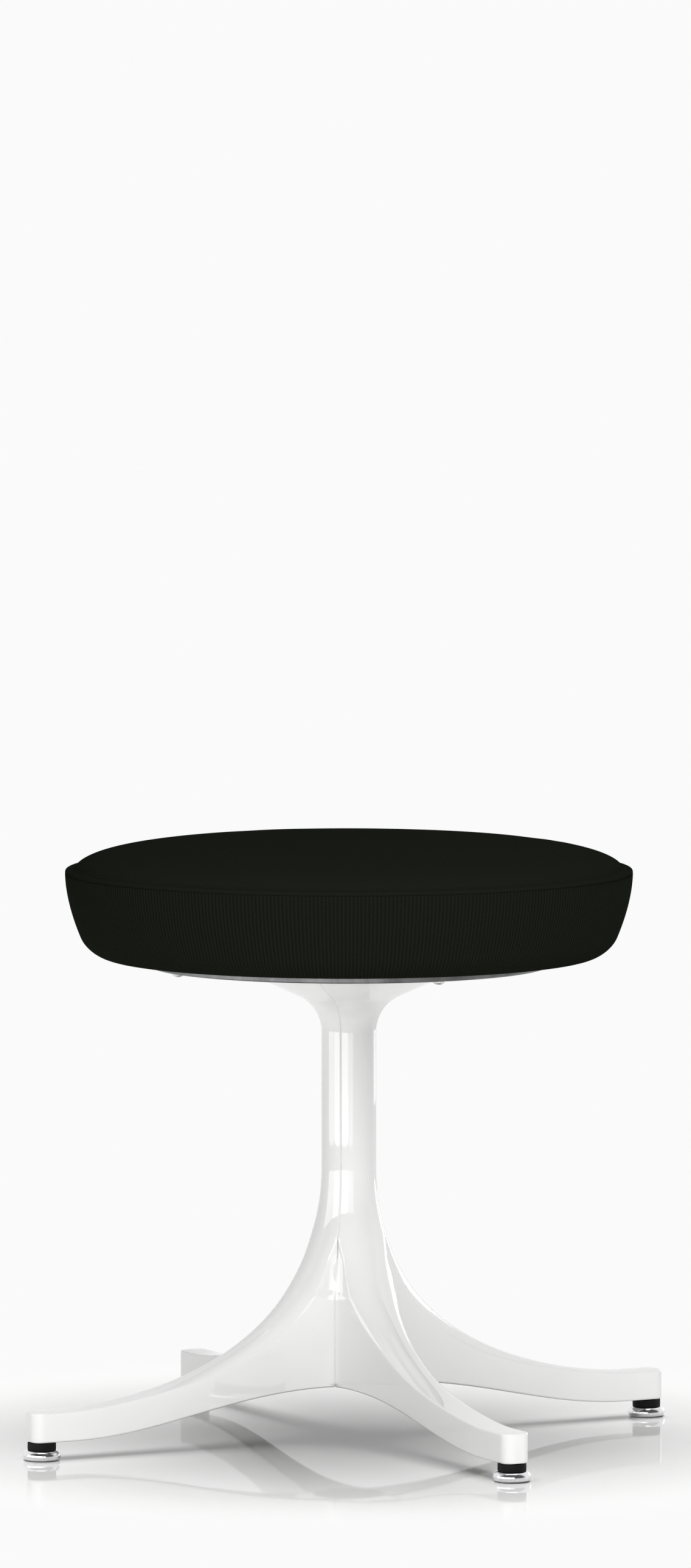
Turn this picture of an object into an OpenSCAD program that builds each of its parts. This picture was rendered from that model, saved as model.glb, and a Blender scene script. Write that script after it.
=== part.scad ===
/* [Seat cushion] */
// Diameter of the cushion over its rim seam
seat_d = 394; // [300:1:460]
// Height of the cushion's flat underside above the floor
seat_under_z = 336.3; // [300:1:420]
// Height from the flat underside up to the rim seam
side_h = 61.5; // [45:0.5:80]
// Rise of the crowned top above the rim seam
crown_h = 21.6; // [8:0.2:32]
// How far the side leans in from the seam to the rounded bottom edge
draw_in = 19.5; // [8:0.5:28]
// Width of the rounded bottom edge
belly_w = 19.5; // [8:0.5:26]
// Height of the rounded bottom edge
belly_h = 9.2; // [4:0.2:16]
// Thickness of the knitted cover
cover_t = 1.2; // [0.8:0.1:2]
// Radius of the sewn rim seam's roll
welt_r = 2.9; // [2:0.1:4]

/* [Seat board] */
// Thickness of the plywood board
board_t = 12; // [9:0.5:18]
// Gap between the plywood board's edge and the cover round it
board_gap = 1.8; // [0.5:0.1:12]
// Diameter of the flange of each tee nut
tee_flange_d = 18; // [14:0.5:22]
// Thickness of the flange of each tee nut
tee_flange_t = 1.5; // [1:0.1:2]
// Outer diameter of each tee nut's barrel
tee_barrel_d = 8.6; // [7.6:0.1:10]
// Length of each tee nut's barrel below its flange
tee_barrel_h = 8; // [5:0.5:8.5]

/* [Seat plate] */
// Distance from the cushion's rim in to the steel seat plate's edge
plate_in = 57.8; // [50:0.2:75]
// Thickness of the steel seat plate
plate_t = 6; // [4:0.2:8]
// Rounding of the seat plate's outer edge
plate_edge = 0.8; // [0.3:0.1:1.5]
// Distance from the plate's edge in to the screws that hold the cushion
seat_screw_in = 6.7; // [5.5:0.1:20]
// Shank diameter of those screws
seat_screw_d = 5.9; // [4:0.1:6.2]
// Head diameter of those screws
seat_head_d = 8.5; // [7.5:0.1:10]
// Head height of those screws
seat_head_h = 2.3; // [1.5:0.1:3]
// Width across flats of the hexagon socket in those heads
seat_socket_w = 3; // [2:0.1:4]
// Depth of that socket
seat_socket_h = 1.5; // [0.8:0.1:2]
// Pitch circle of the screws that hold the plate to the castings
flange_screw_pcd = 92; // [76:1:104]
// Shank diameter of those screws
flange_screw_d = 7.8; // [5:0.1:8]
// Length of those screws from plate top to tip
flange_screw_l = 17; // [14:0.2:17.4]
// Head diameter of those countersunk screws
flange_head_d = 15; // [12:0.2:17]
// Head depth of those countersunk screws
flange_head_h = 4; // [3:0.1:5]

/* [Column] */
// Diameter of the column
column_d = 38.2; // [30:0.2:44]
// Diameter of the hollow down the column's middle
bore_d = 22; // [12:0.5:24]
// Diameter of the flared top
flare_d = 140; // [120:1:180]
// Height of the flare's upright outer edge
flare_lip = 5.4; // [3:0.2:8]
// Slope of the flare's cone, in degrees above level
flare_slope = 24.3; // [18:0.5:30]
// Radius of the fillet from the column into the flare
flare_fillet = 27.5; // [15:0.5:34]
// Depth and half width of the groove where two castings meet
seam_groove = 0.5; // [0.2:0.1:1]

/* [Legs] */
// Radius from the column's axis to the middle of each foot
leg_reach = 237.6; // [190:1:280]
// Width of a leg near its foot
tip_w = 20; // [17:0.5:26]
// Depth of a leg over its foot
tip_depth = 21.1; // [19:0.1:30]
// Length of a leg beyond the middle of its foot
nose_out = 9.7; // [8:0.1:14]
// Corner radius of a leg's end, seen from above
nose_corner = 7.5; // [4:0.1:8.4]
// Rounding of the top edge of a leg's end
nose_soft = 1.2; // [0.5:0.1:2]
// Height at which the legs' tops leave the column
crest_start_z = 190; // [170:1:220]
// Height below that start to which the top curve is pulled straight down
crest_pull = 155; // [120:1:156]
// Distance before the foot's middle at which the top has become level
crest_level = 15.4; // [5:0.2:30]
// Height of the underside at the middle of the base
hub_z = 39.8; // [34:0.2:50]
// Distance before the foot's middle at which the underside has become level
under_level = 21; // [12:0.5:32]
// Half width of a leg where it meets its neighbour, low down
root_half = 22.6; // [20.5:0.1:25]
// The same at the top of the pointed arch between two legs
arch_half = 18.4; // [17.6:0.1:20.4]
// Height of the top of the pointed arch between two legs
arch_z = 134; // [125:1:150]
// Height below which the root keeps its full width
root_full_z = 98; // [80:1:115]
// Distance over which a leg narrows from its root to its end
root_fade = 33; // [25:0.5:50]
// Radius along the bottom edges of the legs
under_soft = 1.5; // [0.6:0.1:2]

/* [Hub plate] */
// Diameter of the plate under the middle of the base
hub_d = 49.6; // [44:0.2:52]
// Thickness of that plate
hub_t = 3; // [2:0.2:5]
// Pitch circle of its screws
hub_screw_pcd = 35; // [32:0.5:37]
// Shank diameter of its screws
hub_screw_d = 4.8; // [3:0.1:5]
// Length of its screws
hub_screw_l = 14; // [10:0.5:20]
// Head diameter of its countersunk screws
hub_head_d = 8.6; // [7.6:0.1:9]
// Head depth of its countersunk screws
hub_head_h = 2; // [1.4:0.1:2.4]

/* [Glides] */
// Diameter of each glide's threaded stem
stem_d = 7.9; // [5:0.1:7.9]
// Length of stem inside the leg when the glide is screwed home
stem_in = 15; // [13:0.2:16]
// Outer diameter of the threaded insert in each leg
insert_d = 12; // [10.4:0.1:13]
// Length of the threaded insert in each leg
insert_h = 14; // [10:0.2:14.5]
// Diameter of the rubber collar
collar_d = 19.6; // [16:0.1:22]
// Height of the rubber collar
collar_h = 5.4; // [4:0.1:6.5]
// Diameter of the chrome foot
foot_d = 26.1; // [22:0.1:34]
// Height of the chrome foot
foot_h = 7; // [5.6:0.1:8]
// Diameter of the chrome foot's flat sole
sole_d = 21; // [17:0.2:21.6]
// Thickness of the chrome foot's sole
sole_t = 1.2; // [0.8:0.1:1.6]
// Diameter of the stem's head inside the foot
stem_head_d = 12; // [10:0.2:14]
// Thickness of the stem's head
stem_head_t = 2; // [1.2:0.1:2.4]

/* [Fits] */
// Gap beside a shaft that turns or slides in its hole
run_gap = 0.05; // [0.02:0.01:0.1]
// Gap between layers and pieces that lie against each other
lay_gap = 0.1; // [0.05:0.05:0.3]
// Gap between faces that move past each other
face_gap = 0.3; // [0.2:0.05:0.5]

/* [Hidden] */
$fn = 96;
over = 1;
leg_turns = [-90, 0, 90, 180];
quarter = 90;

plate_z = seat_under_z - plate_t;
plate_d = seat_d - 2 * plate_in;
seat_screw_pcd = plate_d - 2 * seat_screw_in;
seam_z = seat_under_z + side_h;
seat_r = seat_d / 2;
crown_r = seat_r - 2 * welt_r;
column_r = column_d / 2;
flare_r = flare_d / 2;
tip_under_z = foot_h + collar_h + face_gap;
tip_top_z = tip_under_z + tip_depth;
nose_x = leg_reach + nose_out;
nose_c = nose_x - nose_corner;
tip_half = tip_w / 2;
crest_x = leg_reach - crest_level;
under_x = leg_reach - under_level;
board_z = seat_under_z + cover_t + lay_gap;
board_top_z = board_z + board_t;

// Shares that shape the curves
side_power_share = 1.8;
crown_edge_share = 3;
crown_round_share = 0.6;
under_bend_share = 1.13;
round_share = sqrt(2) - 1;
crest_peak_share = 0.74;
crest_peak_at_share = 0.31;
crest_width_share = 0.27;
crest_end_share = 0.05;
fan_x_share = 0.26;
fan_power_share = 1.5;
fan_end_share = 0.63;

// Radius of the cushion's side at share h of its height, drawn in by inset
function side_r(h, inset) =
  let (lean = draw_in * pow(1 - h, side_power_share))
  let (low = max(0, 1 - h * side_h / belly_h))
  seat_r - inset - lean - belly_w * (1 - sqrt(1 - low * low));

// Height of the crowned top at share u of its radius, lowered by inset
function crown_z(u, inset) =
  seam_z + welt_r - inset
  + (crown_h - welt_r) * pow(1 - pow(u, crown_edge_share), crown_round_share);

side_steps = 15;
crown_steps = 13;
cushion_sides = 96;
// The steps are close together where the curves are tight
function side_share(i) = pow(i / side_steps, 2);
function crown_share(i) = 1 - pow(1 - i / crown_steps, 2);
// The side from the flat underside up to the seam
function side_line(inset) = [
  for (i = [0:side_steps])
    let (h = side_share(i))
    [side_r(h, inset), seat_under_z + inset + h * (side_h - welt_r - inset)]
];
// The top from its middle out to the seam
function crown_line(inset) = [
  for (i = [0:crown_steps])
    let (u = crown_share(i))
    [u * (crown_r - inset), crown_z(u, inset)]
];
function backward(list) = [for (i = [len(list) - 1:-1:0]) list[i]];

module cover_top() {
  color([0.10, 0.11, 0.09])
    rotate_extrude($fn = cushion_sides)
      polygon(concat(crown_line(0), backward(crown_line(cover_t))));
}

turn_in = belly_w / 2;
cloth_r = seat_r - draw_in - belly_w - turn_in;
module cover_side() {
  outer = side_line(0);
  inner = side_line(cover_t);
  color([0.10, 0.11, 0.09])
    rotate_extrude($fn = cushion_sides)
      polygon(concat(
        [[cloth_r, seat_under_z]], outer, backward(inner), [[cloth_r, seat_under_z + cover_t]]
      ));
}

module cover_seam() {
  color([0.08, 0.09, 0.08])
    rotate_extrude($fn = cushion_sides)
      translate([seat_r - welt_r, seam_z + lay_gap]) circle(r = welt_r - lay_gap, $fn = 24);
}

module cover_under() {
  color([0.12, 0.12, 0.12])
    translate([0, 0, seat_under_z])
      difference() {
        cylinder(r = cloth_r - lay_gap, h = cover_t);
        screw_ring(seat_screw_pcd)
          translate([0, 0, -over]) cylinder(d = seat_screw_d + 2 * face_gap, h = cover_t + 2 * over);
      }
}

// Share of the side's height at which the cover's inner face reaches the board's underside
board_share = lay_gap / (side_h - welt_r - cover_t);
board_d = 2 * (side_r(board_share, cover_t) - board_gap);
// Copies its children once over each leg, on a pitch circle
module screw_ring(pcd) {
  for (turn = leg_turns)
    rotate([0, 0, turn]) translate([pcd / 2, 0, 0]) children();
}

foam_in = cover_t + lay_gap;
module seat_foam() {
  color([0.86, 0.80, 0.62])
    difference() {
      rotate_extrude($fn = cushion_sides)
        polygon(concat(
          [[0, seat_under_z + foam_in]], side_line(foam_in),
          [[crown_r, seam_z - welt_r]], backward(crown_line(foam_in))
        ));
      translate([0, 0, seat_under_z])
        cylinder(d = board_d + 2 * lay_gap, h = cover_t + board_t + 2 * lay_gap);
    }
}

module seat_board() {
  color([0.76, 0.62, 0.42])
    difference() {
      translate([0, 0, board_z]) cylinder(d = board_d, h = board_t);
      screw_ring(seat_screw_pcd) {
        translate([0, 0, board_z - over]) cylinder(d = tee_barrel_d + 2 * run_gap, h = board_t + 2 * over);
        translate([0, 0, board_top_z - tee_flange_t - lay_gap])
          cylinder(d = tee_flange_d + 2 * lay_gap, h = tee_flange_t + lay_gap + over);
      }
    }
}

module seat_tee_nuts() {
  flange_z = board_top_z - tee_flange_t;
  color([0.72, 0.72, 0.74])
    screw_ring(seat_screw_pcd)
      difference() {
        union() {
          translate([0, 0, flange_z]) cylinder(d = tee_flange_d, h = tee_flange_t);
          translate([0, 0, flange_z - tee_barrel_h]) cylinder(d = tee_barrel_d, h = tee_barrel_h + over);
        }
        translate([0, 0, flange_z - tee_barrel_h - over])
          cylinder(d = seat_screw_d + 2 * run_gap, h = tee_barrel_h + tee_flange_t + 2 * over);
      }
}

// A low round head below its seat, with a hexagon socket
module round_head(d, h, socket_w, socket_h) {
  ball_r = (d * d / 4 + h * h) / (2 * h);
  head_steps = 8;
  half_angle = asin(d / 2 / ball_r);
  difference() {
    rotate_extrude($fn = 48)
      polygon(concat(
        [[0, 0]],
        [for (i = [0:head_steps]) let (a = half_angle * (1 - i / head_steps))
          [ball_r * sin(a), ball_r * (1 - cos(a)) - h]]
      ));
    translate([0, 0, -h - over]) cylinder(d = socket_w / cos(30), h = over + socket_h, $fn = 6);
  }
}

module seat_screws() {
  color([0.86, 0.86, 0.88])
    screw_ring(seat_screw_pcd) translate([0, 0, plate_z]) {
      round_head(seat_head_d, seat_head_h, seat_socket_w, seat_socket_h);
      cylinder(d = seat_screw_d, h = plate_t + cover_t + board_t);
    }
}

module seat_plate() {
  color([0.62, 0.63, 0.64])
    difference() {
      rotate_extrude($fn = 180)
        polygon([
          [0, plate_z], [plate_d / 2 - plate_edge, plate_z],
          [plate_d / 2, plate_z + plate_edge], [plate_d / 2, seat_under_z - plate_edge],
          [plate_d / 2 - plate_edge, seat_under_z], [0, seat_under_z]
        ]);
      screw_ring(seat_screw_pcd)
        translate([0, 0, plate_z - over]) cylinder(d = seat_screw_d + 2 * face_gap, h = plate_t + 2 * over);
      screw_ring(flange_screw_pcd) {
        translate([0, 0, plate_z - over]) cylinder(d = flange_screw_d + 2 * face_gap, h = plate_t + 2 * over);
        translate([0, 0, seat_under_z - flange_head_h - lay_gap])
          cylinder(d1 = flange_screw_d, d2 = flange_head_d, h = flange_head_h, $fn = 48);
        translate([0, 0, seat_under_z - lay_gap]) cylinder(d = flange_head_d, h = lay_gap + over);
      }
    }
}

// A countersunk screw, head up, with its top at zero
module countersunk(d, length, head_d, head_h) {
  rotate_extrude($fn = 48)
    polygon([
      [0, -length], [d / 2, -length], [d / 2, -head_h], [head_d / 2 - lay_gap, -lay_gap], [0, -lay_gap]
    ]);
}

module flange_screws() {
  color([0.45, 0.46, 0.48])
    screw_ring(flange_screw_pcd)
      translate([0, 0, seat_under_z])
        countersunk(flange_screw_d, flange_screw_l, flange_head_d, flange_head_h);
}

// Outline of the column and its flare, drawn in by inset
fillet_turn = quarter - flare_slope;
fillet_steps = 10;
fillet_run = flare_fillet * tan(fillet_turn / 2);
lip_z = plate_z - flare_lip;
cone_foot_z = lip_z - (flare_r - column_r) * tan(flare_slope);
column_foot_z = crest_start_z - over;
function column_line(inset) = concat(
  [[0, column_foot_z], [column_r - inset, column_foot_z]],
  [for (i = [0:fillet_steps]) let (a = fillet_turn * i / fillet_steps)
    [column_r + flare_fillet * (1 - cos(a)) - inset, cone_foot_z - fillet_run + flare_fillet * sin(a)]],
  [[flare_r - inset, lip_z], [flare_r - inset, plate_z], [0, plate_z]]
);

module column_quarter() {
  groove_turn = asin(seam_groove / column_r);
  rotate([0, 0, -quarter / 2])
    rotate_extrude(angle = quarter, $fn = 144) polygon(column_line(seam_groove));
  rotate([0, 0, groove_turn - quarter / 2])
    rotate_extrude(angle = quarter - 2 * groove_turn, $fn = 144) polygon(column_line(0));
}

// Point on the leg's top line, from the column at 0 to the level end at 1
function crest_point(t) =
  let (s = t * t * (3 - 2 * t), k = 1 - t)
  [
    column_r + (crest_x - column_r) * s,
    k * k * k * crest_start_z + 3 * k * k * t * (crest_start_z - crest_pull) + s * tip_top_z
  ];

// Height of the underside at distance x from the axis
function under_z(x) =
  let (u = min(1, x / under_x))
  tip_under_z + (hub_z - tip_under_z) * (1 + cos(180 * pow(u, under_bend_share))) / 2;

// Half width of the leg's root at height z
function root_at(z) =
  let (k = min(1, max(0, (z - root_full_z) / (arch_z - root_full_z))))
  root_half + (arch_half - root_half) * k * k * (3 - 2 * k);

// Half width of the leg at distance x and height z: the seam plane, the fading root, the round end
function wall(x, z) =
  x > nose_c
  ? tip_half - nose_corner + sqrt(max(0, nose_corner * nose_corner - (x - nose_c) * (x - nose_c)))
  : min(x, tip_half + (root_at(z) - tip_half) * exp((root_at(z) - x) / root_fade));

// The sections fan out from level ones in the column to upright ones along the leg
land = bore_d / 6;
fan_x = fan_x_share * leg_reach;
fan_end = fan_end_share * leg_reach;
fine_steps = 200;
before_fan = [for (i = [0:fine_steps]) if (crest_point(i / fine_steps)[0] < fan_x) i / fine_steps];
fan_z = crest_point(before_fan[len(before_fan) - 1])[1];
// Point on the inside or underside that belongs to top point c
function inner_point(c) =
  c[1] >= arch_z ? [land, c[1]]
  : c[0] < fan_x ? [land, hub_z + (arch_z - hub_z) * max(0, c[1] - fan_z) / (arch_z - fan_z)]
  : let (k = max(0, 1 - (c[0] - fan_x) / (fan_end - fan_x)))
    let (x = c[0] - (fan_x - land) * pow(k, fan_power_share))
    [x, under_z(x)];

// How round the top is at c: its rise as a share of its half width
function round_at(c) =
  let (away = (c[0] / leg_reach - crest_peak_at_share) / crest_width_share)
  let (free = crest_end_share + (crest_peak_share - crest_end_share) * exp(-away * away))
  let (k = min(1, max(0, (arch_z - c[1]) / (arch_z - fan_z))))
  round_share + (free - round_share) * k * k * (3 - 2 * k);

// Half width at the edge of the round top, found by going back and forth between edge and width
function edge_half(c, dir, share, half, left) =
  left == 0 ? half
  : let (p = c - share * half * dir)
    edge_half(c, dir, share, wall(p[0], p[1]), left - 1);

wall_steps = 3;
round_steps = 5;
edge_passes = 20;
level_share = 0.01;
soft_share = 1 / 8;
// One half of a leg's cross-section: distances along the line from u to c, and half widths
function half_section(c, u, share) =
  let (long = norm(c - u), dir = (c - u) / long)
  let (half = edge_half(c, dir, share, wall(c[0], c[1]), edge_passes))
  let (sag = share * half, ball = (half * half + sag * sag) / (2 * sag))
  let (root = root_at(u[1] + dir[1] * long / 2))
  let (valley = dir[0] > level_share ? (root - u[0]) / dir[0] : 0)
  let (soft = min(under_soft, long * soft_share))
  let (top_valley = min(valley, long - sag))
  let (b = max(top_valley - seam_groove, 2 * soft))
  let (a = b + 2 * seam_groove)
  let (e = max(long - sag, a + 2 * seam_groove))
  let (start = acos(1 - (long - e) / ball))
  concat(
    [[0, 0], [0, width(u, dir, 0) - soft]],
    [[soft * (1 - cos(45)), width(u, dir, 0) - soft * (1 - sin(45))]],
    [[soft, width(u, dir, soft)], [(soft + b) / 2, width(u, dir, (soft + b) / 2)], [b, width(u, dir, b)]],
    [for (i = [0:wall_steps - 1]) let (s = a + (e - a) * i / wall_steps)
      [s, min(width(u, dir, s), arc_width(long - s, ball, sag))]],
    [for (i = [0:round_steps]) let (turn = start * (1 - i / round_steps))
      [long - ball * (1 - cos(turn)), ball * sin(turn)]]
  );
function width(u, dir, s) = wall(u[0] + dir[0] * s, u[1] + dir[1] * s);
function arc_width(q, ball, sag) = q >= sag ? ball : sqrt(max(0, 2 * ball * q - q * q));

// A whole closed section as points in space
function ring(c, u, share) =
  let (half = half_section(c, u, share), dir = (c - u) / norm(c - u), n = len(half))
  concat(
    [for (p = half) [u[0] + dir[0] * p[0], p[1], u[1] + dir[1] * p[0]]],
    [for (i = [n - 2:-1:1]) let (p = half[i]) [u[0] + dir[0] * p[0], -p[1], u[1] + dir[1] * p[0]]]
  );

crest_steps = 30;
nose_steps = 4;
crest_stop_share = 0.9;
spigot_share = 0.8;
neck_share = 0.985;
function crest_ring(t) = let (c = crest_point(t)) ring(c, inner_point(c), round_at(c));
function nose_ring(x, soft) = ring([x, tip_top_z - soft], [x, tip_under_z + soft / 2], crest_end_share);
function shrunk(points, k, z) =
  let (middle = column_r / 2)
  [for (p = points) [middle + k * (p[0] - middle), k * p[1], z]];
// The loft starts with a spigot inside the column, so that the two shapes join
spigot = 3 * over;
first_ring = crest_ring(0);
leg_rings = concat(
  [shrunk(first_ring, spigot_share, crest_start_z + spigot), shrunk(first_ring, neck_share, crest_start_z)],
  [for (i = [1:crest_steps]) crest_ring(crest_stop_share * i / crest_steps)],
  [for (x = [crest_x, leg_reach - nose_out]) nose_ring(x, 0)],
  [for (i = [0:nose_steps]) let (a = quarter * i / nose_steps)
    nose_ring(nose_c + nose_corner * sin(a), nose_soft * (1 - cos(a)))]
);

module leg_loft() {
  rings = len(leg_rings);
  n = len(leg_rings[0]);
  polyhedron(
    points = [for (r = leg_rings) for (p = r) p],
    faces = concat(
      [[for (j = [0:n - 1]) j]],
      [for (i = [0:rings - 2]) for (j = [0:n - 1]) let (k = (j + 1) % n)
        [(i + 1) * n + j, i * n + k, i * n + j]],
      [for (i = [0:rings - 2]) for (j = [0:n - 1]) let (k = (j + 1) % n)
        [(i + 1) * n + j, (i + 1) * n + k, i * n + k]],
      [[for (j = [0:n - 1]) (rings - 1) * n + (n - j) % n]]
    )
  );
}

// Everything that is cut from a casting: the hollow, the screw holes and the seats
flange_hole_l = flange_screw_l - plate_t + 2 * face_gap;
module casting_cuts() {
  translate([0, 0, tip_under_z]) cylinder(d = bore_d, h = plate_z);
  translate([flange_screw_pcd / 2, 0, plate_z - flange_hole_l])
    cylinder(d = flange_screw_d + 2 * run_gap, h = flange_hole_l + over);
  translate([0, 0, tip_under_z]) cylinder(d = hub_d + 2 * lay_gap, h = hub_z + hub_t + lay_gap - tip_under_z);
  translate([hub_screw_pcd / 2, 0, hub_z])
    cylinder(d = hub_screw_d + 2 * run_gap, h = hub_screw_l + face_gap);
  translate([leg_reach, 0, tip_under_z - over]) {
    cylinder(d = insert_d + 2 * run_gap, h = insert_h + lay_gap + over);
    cylinder(d = stem_d + 2 * face_gap, h = stem_in + face_gap + over);
  }
}

module leg_casting() {
  color([0.95, 0.95, 0.94])
    difference() {
      union() {
        column_quarter();
        leg_loft();
      }
      casting_cuts();
    }
}

module leg_front() { rotate([0, 0, leg_turns[0]]) leg_casting(); }
module leg_right() { rotate([0, 0, leg_turns[1]]) leg_casting(); }
module leg_back() { rotate([0, 0, leg_turns[2]]) leg_casting(); }
module leg_left() { rotate([0, 0, leg_turns[3]]) leg_casting(); }

module hub_plate() {
  color([0.55, 0.56, 0.58])
    difference() {
      translate([0, 0, hub_z]) cylinder(d = hub_d, h = hub_t);
      screw_ring(hub_screw_pcd) {
        translate([0, 0, hub_z - over]) cylinder(d = hub_screw_d + 2 * face_gap, h = hub_t + 2 * over);
        translate([0, 0, hub_z + lay_gap])
          cylinder(d1 = hub_head_d, d2 = hub_screw_d, h = hub_head_h, $fn = 48);
        translate([0, 0, hub_z - over]) cylinder(d = hub_head_d, h = lay_gap + over);
      }
    }
}

module hub_screws() {
  color([0.45, 0.46, 0.48])
    screw_ring(hub_screw_pcd)
      translate([0, 0, hub_z]) mirror([0, 0, 1])
        countersunk(hub_screw_d, hub_screw_l, hub_head_d, hub_head_h);
}

module leg_inserts() {
  color([0.80, 0.70, 0.42])
    screw_ring(2 * leg_reach)
      translate([0, 0, tip_under_z])
        difference() {
          cylinder(d = insert_d, h = insert_h);
          translate([0, 0, -over]) cylinder(d = stem_d + 2 * run_gap, h = insert_h + 2 * over);
        }
}

// A glide's stem, with the head that its foot holds
head_z = sole_t + face_gap;
module stem(turn) {
  color([0.70, 0.71, 0.73])
    rotate([0, 0, turn]) translate([leg_reach, 0, head_z]) {
      cylinder(d = stem_head_d, h = stem_head_t);
      cylinder(d = stem_d, h = tip_under_z + stem_in - head_z);
    }
}

// The rubber collar between the foot and the leg
module collar(turn) {
  color([0.06, 0.06, 0.06])
    rotate([0, 0, turn]) translate([leg_reach, 0, foot_h])
      difference() {
        cylinder(d = collar_d, h = collar_h);
        translate([0, 0, -over]) cylinder(d = stem_d + 2 * run_gap, h = collar_h + 2 * over);
      }
}

// The chrome foot: a bulging rim over a flat sole, hollow for the stem's head
bulge_share = 0.42;
shoulder_share = 0.76;
foot_steps = 8;
module foot(turn) {
  bulge_z = foot_h * bulge_share;
  shoulder_r = foot_d / 2 * shoulder_share;
  bulge_w = (foot_d - sole_d) / 2;
  color([0.84, 0.85, 0.87])
    rotate([0, 0, turn]) translate([leg_reach, 0, 0])
      difference() {
        rotate_extrude($fn = 72)
          polygon(concat(
            [[0, 0]],
            [for (i = [0:foot_steps]) let (a = quarter * i / foot_steps)
              [sole_d / 2 + bulge_w * sin(a), bulge_z * (1 - cos(a))]],
            [for (i = [1:foot_steps]) let (a = quarter * i / foot_steps)
              [shoulder_r + (foot_d / 2 - shoulder_r) * cos(a), bulge_z + (foot_h - bulge_z) * sin(a)]],
            [[0, foot_h]]
          ));
        translate([0, 0, sole_t]) cylinder(d = stem_head_d + 2 * face_gap, h = stem_head_t + 2 * face_gap);
        translate([0, 0, sole_t]) cylinder(d = stem_d + 2 * run_gap, h = foot_h);
      }
}

cover_top();
cover_side();
cover_seam();
cover_under();
seat_foam();
seat_board();
seat_tee_nuts();
seat_screws();
seat_plate();
flange_screws();
leg_front();
leg_right();
leg_back();
leg_left();
hub_plate();
hub_screws();
leg_inserts();
stem(leg_turns[0]);  // stem_front
collar(leg_turns[0]);  // collar_front
foot(leg_turns[0]);  // foot_front
stem(leg_turns[1]);  // stem_right
collar(leg_turns[1]);  // collar_right
foot(leg_turns[1]);  // foot_right
stem(leg_turns[2]);  // stem_back
collar(leg_turns[2]);  // collar_back
foot(leg_turns[2]);  // foot_back
stem(leg_turns[3]);  // stem_left
collar(leg_turns[3]);  // collar_left
foot(leg_turns[3]);  // foot_left
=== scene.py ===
import math
import bpy
import numpy as np
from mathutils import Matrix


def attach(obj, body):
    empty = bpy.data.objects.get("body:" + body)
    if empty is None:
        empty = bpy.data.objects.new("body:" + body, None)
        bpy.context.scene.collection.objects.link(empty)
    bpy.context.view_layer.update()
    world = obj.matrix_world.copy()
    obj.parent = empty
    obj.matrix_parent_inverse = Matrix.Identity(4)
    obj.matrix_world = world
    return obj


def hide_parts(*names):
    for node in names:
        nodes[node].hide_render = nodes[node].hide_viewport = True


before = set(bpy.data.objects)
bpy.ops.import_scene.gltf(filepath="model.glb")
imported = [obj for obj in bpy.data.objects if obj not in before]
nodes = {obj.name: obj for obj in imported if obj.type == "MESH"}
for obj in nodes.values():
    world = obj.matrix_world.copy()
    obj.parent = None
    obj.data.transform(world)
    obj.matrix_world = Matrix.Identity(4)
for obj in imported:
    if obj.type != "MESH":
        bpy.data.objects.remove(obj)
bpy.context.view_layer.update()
scene = bpy.context.scene
mm = 0.001

# Camera: a long lens from a little above the seat, turned so that one leg points past its right
cameraView = {
    "distance": 6.767, "height": 0.955, "aside": -0.0024, "turn": 27.58, "downTilt": 4.215,
    "lens": 224.83, "sensor": 36.0, "farthest": 60.0,
}


# A place given from the stool as (right, towards the camera, up), in the frame's own axes
def fromCamera(place):
    turn = math.radians(cameraView["turn"])
    right, near, up = place
    x = right * math.cos(turn) - near * math.sin(turn)
    y = -right * math.sin(turn) - near * math.cos(turn)
    return np.array([x, y, up])


def newObject(name, data):
    thing = bpy.data.objects.new(name, data)
    scene.collection.objects.link(thing)
    return thing


def makeCamera(view):
    data = bpy.data.cameras.new("stoolCamera")
    data.lens, data.sensor_width, data.clip_end = view["lens"], view["sensor"], view["farthest"]
    camera = newObject("stoolCamera", data)
    camera.location = fromCamera((view["aside"], view["distance"], view["height"]))
    camera.rotation_euler = (math.radians(90.0 - view["downTilt"]), 0.0, -math.radians(view["turn"]))
    scene.camera = camera


makeCamera(cameraView)
print("camera placed")


# Small helpers for surfaces

# Coordinates put side by side, each spread over the same grid
def stacked(*parts):
    return np.stack(np.broadcast_arrays(*parts), axis=-1)


# Even shares from 0 to 1
def shares(count):
    return np.linspace(0.0, 1.0, count)


# Quads of a grid of points, rows by columns, closed round where asked
def gridFaces(rows, columns, wrapColumns=False, wrapRows=False):
    i, j = np.mgrid[:rows if wrapRows else rows - 1, :columns if wrapColumns else columns - 1]
    k = (j + 1) % columns
    here, above = i * columns, (i + 1) % rows * columns
    return stacked(here + j, here + k, above + k, above + j).reshape(-1, 4)


# An object for a mesh, smooth apart from the edges sharper than the angle
def pieceOf(name, mesh, smoothAngle):
    mesh.polygons.foreach_set("use_smooth", np.ones(len(mesh.polygons), bool))
    mesh.set_sharp_from_angle(angle=math.radians(smoothAngle))
    return newObject(name, mesh)


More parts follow.
